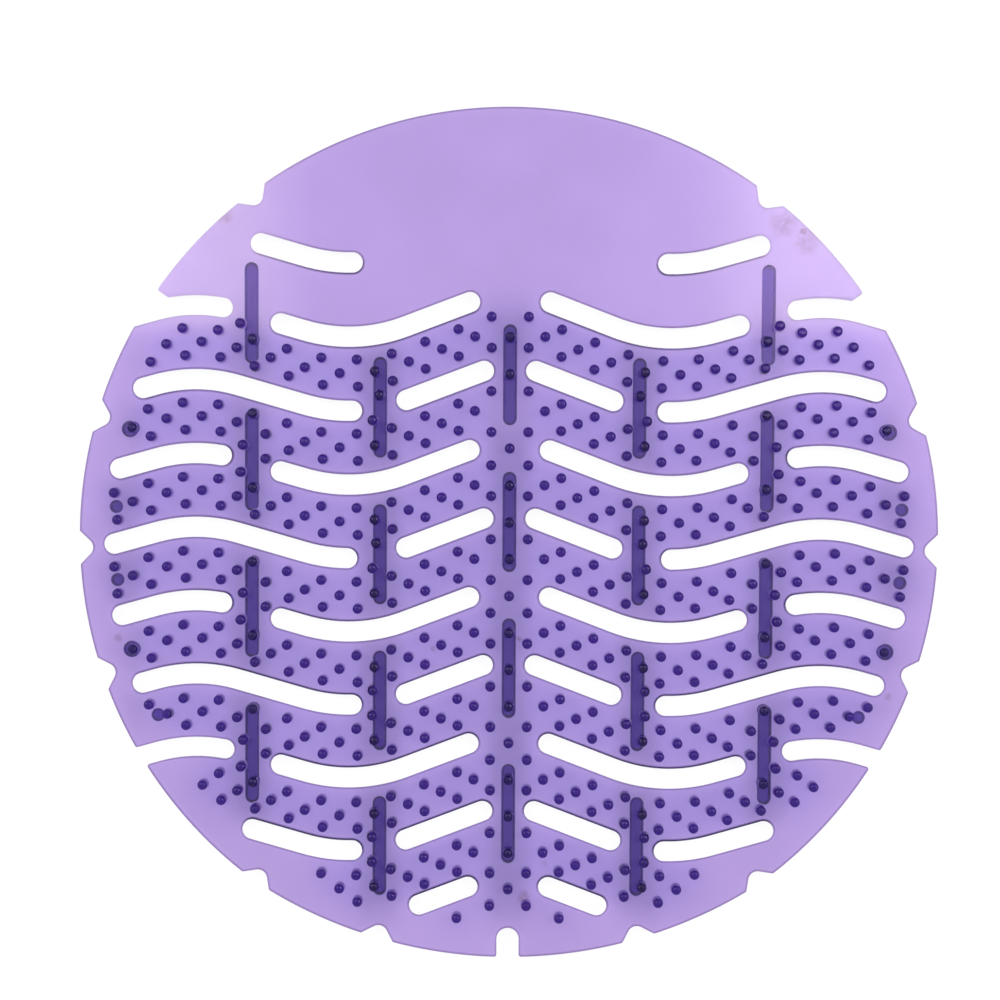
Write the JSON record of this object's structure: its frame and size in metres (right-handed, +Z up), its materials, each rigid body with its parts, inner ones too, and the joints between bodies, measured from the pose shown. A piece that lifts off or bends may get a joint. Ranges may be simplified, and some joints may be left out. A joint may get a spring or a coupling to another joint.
{
  "type": "urinal deodorizer screen",
  "caption": "Thin round soft plastic screen with waves of slots, rows of small upright pins on top, short bars beneath and notches in its rim.",
  "frame": {"origin": "bottom centre of the part's box, on the plane of the bars' undersides that it rests on", "axes": "+Z up through the disc, from the bars to the pins; +Y towards the plain cap; +X to the right, across the mirror plane"},
  "size_m": [0.182, 0.1805, 0.0069],
  "materials": {
    "lilac_vinyl": "soft, see-through lilac moulding, satin to glossy"
  },
  "bodies": {
    "root": {"screen": "lilac_vinyl"}
  },
  "joints": []
}
